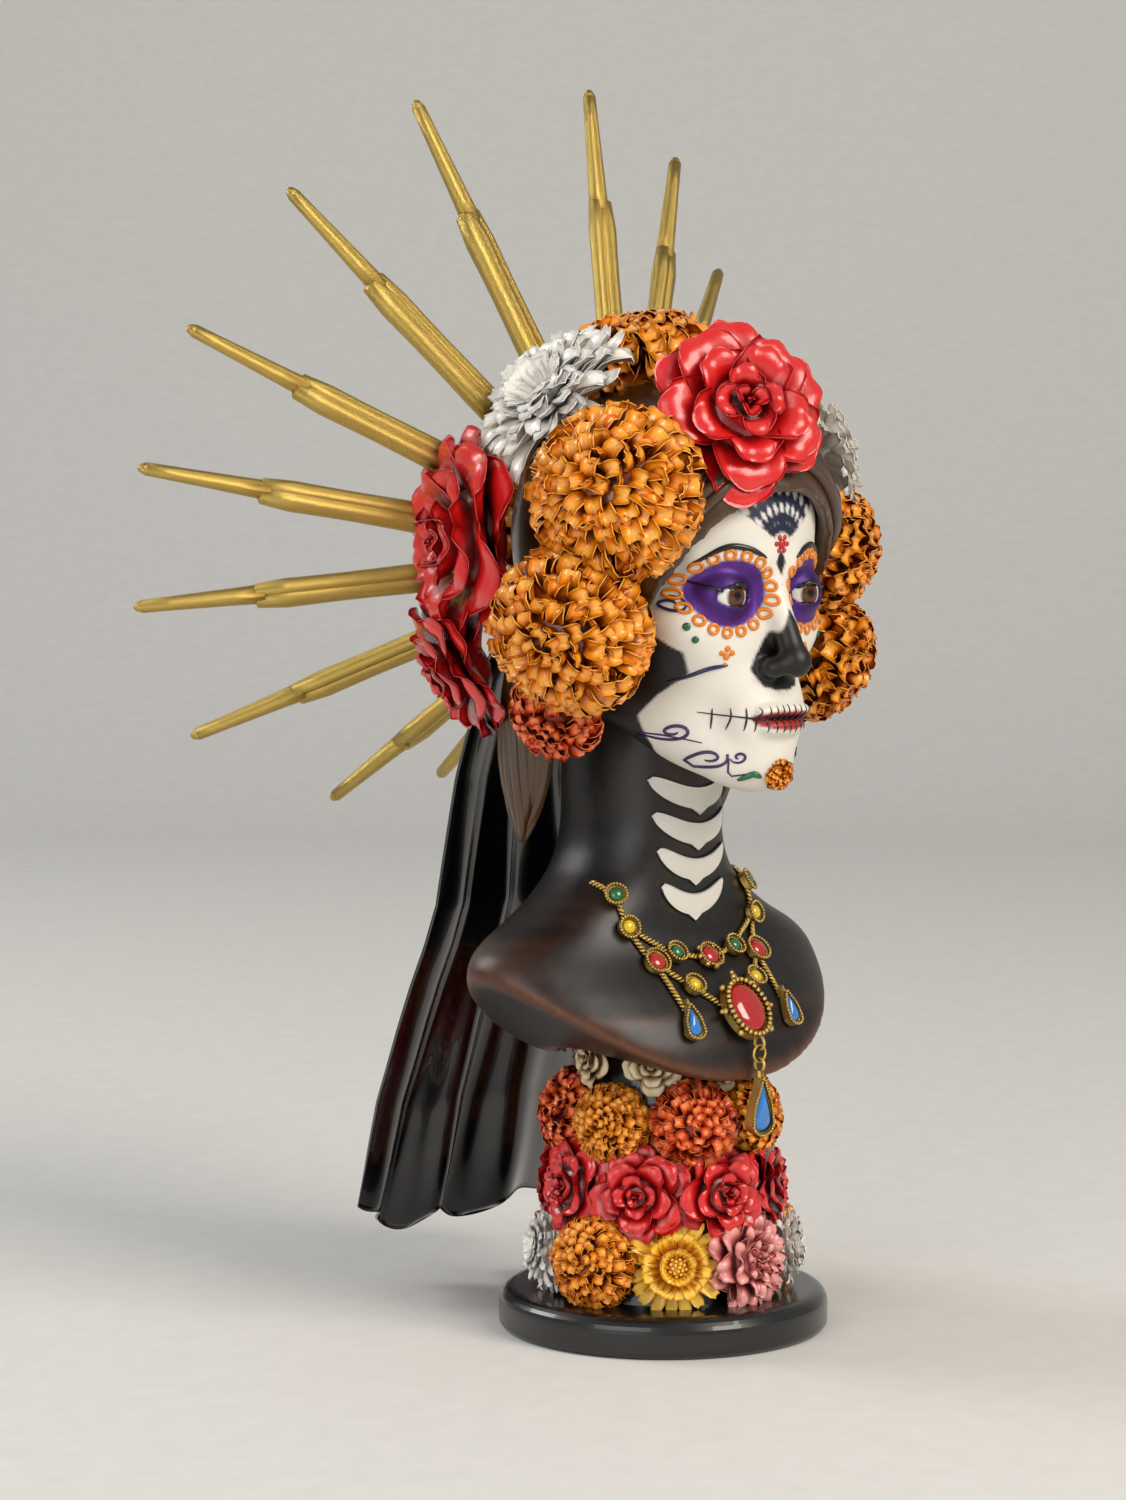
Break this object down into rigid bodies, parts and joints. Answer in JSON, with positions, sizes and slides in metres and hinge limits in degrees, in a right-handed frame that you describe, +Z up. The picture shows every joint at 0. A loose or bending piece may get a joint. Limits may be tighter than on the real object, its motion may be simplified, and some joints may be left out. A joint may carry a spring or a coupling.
{
  "type": "catrina bust figure",
  "caption": "Bust of a catrina with painted skull face, flower crown with swept gold rays, stiff veil, flower column, round plinth and a hanging teardrop pendant.",
  "frame": {"origin": "centre of the plinth's underside, on the surface that the bust stands on", "axes": "+Z up, the face looks along -Y, +X is the figure's left"},
  "size_m": [0.1917, 0.1603, 0.2974],
  "materials": {
    "black_lacquer": "black semi-gloss lacquer",
    "steel": "plain steel",
    "rose_red": "red paint under gloss varnish",
    "marigold_orange": "orange paint under gloss varnish",
    "dahlia_red": "orange-red paint under gloss varnish",
    "cream_paint": "cream paint under varnish",
    "gerbera_yellow": "yellow paint under gloss varnish",
    "peony_pink": "pink paint under gloss varnish",
    "black_satin": "black satin paint with a bronze dry-brush",
    "skin_paint": "painted face",
    "hair_paint": "dark brown paint with gold strokes",
    "antique_gold": "antique gold leaf",
    "jewel_gold": "gold paint on fine castings",
    "veil_gloss": "gloss black with rubbed edges",
    "green_enamel": "green enamel",
    "yellow_enamel": "yellow enamel",
    "red_enamel": "red enamel",
    "blue_enamel": "blue enamel"
  },
  "bodies": {
    "figure": {"plinth": "black_lacquer", "support_rod": "steel", "column_core": "black_lacquer", "column_roses": "rose_red", "column_marigolds": "marigold_orange", "column_dahlias": "dahlia_red", "shadow_rosettes": "cream_paint", "bust": "black_satin", "head": "skin_paint", "hair": "hair_paint", "hair_lock_right": "hair_paint", "hair_lock_left": "hair_paint", "halo_ring": "antique_gold", "veil": "veil_gloss", "necklace_chain": "jewel_gold", "necklace_settings": "jewel_gold", "green_stones": "green_enamel", "yellow_stones": "yellow_enamel", "red_stones": "red_enamel", "drop_stones": "blue_enamel", "medallion_setting": "jewel_gold", "medallion_stone": "red_enamel", "lower_white_flowers": "cream_paint", "lower_marigolds": "marigold_orange", "lower_gerberas": "gerbera_yellow", "lower_peonies": "peony_pink", "ray_right_1": "antique_gold", "ray_right_2": "antique_gold", "ray_right_3": "antique_gold", "ray_right_4": "antique_gold", "ray_right_5": "antique_gold", "ray_right_6": "antique_gold", "ray_right_7": "antique_gold", "ray_left_1": "antique_gold", "ray_left_2": "antique_gold", "ray_left_3": "antique_gold", "ray_left_4": "antique_gold", "ray_left_5": "antique_gold", "ray_left_6": "antique_gold", "ray_left_7": "antique_gold", "crown_rose_front": "rose_red", "crown_marigold_right_upper": "marigold_orange", "crown_marigold_right_lower": "marigold_orange", "crown_rose_right_rear": "rose_red", "crown_daisy_right": "cream_paint", "crown_daisy_left_front": "cream_paint", "crown_marigold_left_upper": "marigold_orange", "crown_marigold_left_lower": "marigold_orange", "crown_rose_left_rear": "rose_red", "crown_daisy_left": "cream_paint", "crown_marigold_top": "marigold_orange", "crown_rose_right_nape": "rose_red", "crown_rose_left_nape": "rose_red", "crown_bud_right": "dahlia_red", "crown_marigold_back": "marigold_orange"},
    "link": {"jump_ring": "jewel_gold"},
    "pendant": {"pendant_setting": "jewel_gold", "pendant_stone": "blue_enamel"}
  },
  "joints": [
    {"name": "link_swing", "type": "hinge", "parent": "figure", "child": "link", "pos_m": [0, -0.03217, 0.07095], "axis": [-1, 0, 0], "range_deg": [-4, 75]},
    {"name": "pendant_swing", "type": "hinge", "parent": "link", "child": "pendant", "pos_m": [0, -0.03217, 0.06905], "axis": [0, -1, 0], "range_deg": [-35, 35]}
  ]
}
